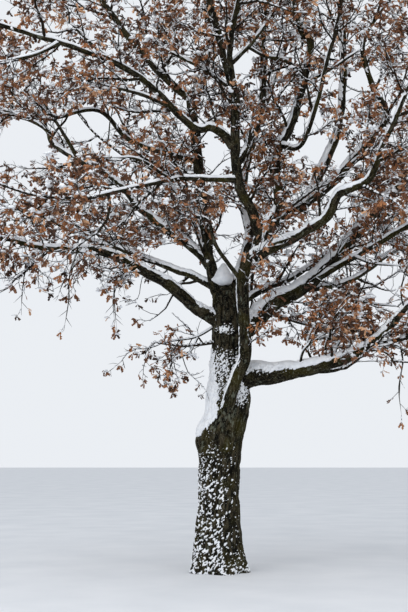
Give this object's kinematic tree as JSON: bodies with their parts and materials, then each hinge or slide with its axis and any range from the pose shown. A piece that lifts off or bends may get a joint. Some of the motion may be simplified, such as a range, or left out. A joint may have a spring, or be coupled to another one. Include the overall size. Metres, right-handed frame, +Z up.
{
  "type": "oak tree in winter leaf with snow",
  "caption": "Old open-grown oak with a low fork, spreading boughs, dead brown leaves held through winter, and snow on its limbs and trunk.",
  "frame": {"origin": "middle of the flat cut under the trunk, at ground level", "axes": "+Z up, +X to the right and -Y towards the viewer of the picture"},
  "size_m": [11.2714, 9.0878, 12.7335],
  "materials": {
    "bark": "matte",
    "leaves": "matte",
    "snow": "matte"
  },
  "bodies": {
    "root": {"trunk": "bark", "front_stem": "bark", "front_leader": "bark", "bough_long_left": "bark", "bough_upper_middle": "bark", "bough_front_left": "bark", "bough_front": "bark", "rear_leader": "bark", "bough_high_left": "bark", "rear_leader_top": "bark", "bough_great_left": "bark", "bough_thin_left": "bark", "bough_back_left": "bark", "bough_rear_left": "bark", "bough_low_left": "bark", "bough_low_right": "bark", "bough_low_right_fork": "bark", "bough_great_right": "bark", "bough_right_lower_front": "bark", "bough_right_lower_rear": "bark", "bough_right_front": "bark", "right_leader": "bark", "bough_right_long": "bark", "bough_right_upright": "bark", "bough_inner_right": "bark", "back_leader": "bark", "bough_back": "bark", "bough_back_right": "bark", "foliage_front_leader": "leaves", "foliage_long_left": "leaves", "foliage_upper_middle": "leaves", "foliage_front_left": "leaves", "foliage_front": "leaves", "foliage_high_left": "leaves", "foliage_rear_leader": "leaves", "foliage_great_left": "leaves", "foliage_thin_left": "leaves", "foliage_back_left": "leaves", "foliage_rear_left": "leaves", "foliage_low_left": "leaves", "foliage_low_right": "leaves", "foliage_low_right_fork": "leaves", "foliage_great_right": "leaves", "foliage_right_lower_front": "leaves", "foliage_right_lower_rear": "leaves", "foliage_right_front": "leaves", "foliage_right_leader": "leaves", "foliage_right_long": "leaves", "foliage_right_upright": "leaves", "foliage_inner_right": "leaves", "foliage_back_leader": "leaves", "foliage_back": "leaves", "foliage_back_right": "leaves", "foliage_low_spray": "leaves", "snow_low_right": "snow", "snow_great_right": "snow", "snow_low_left": "snow", "snow_rear_left": "snow", "snow_right_front": "snow", "snow_crotch": "snow"}
  },
  "joints": []
}
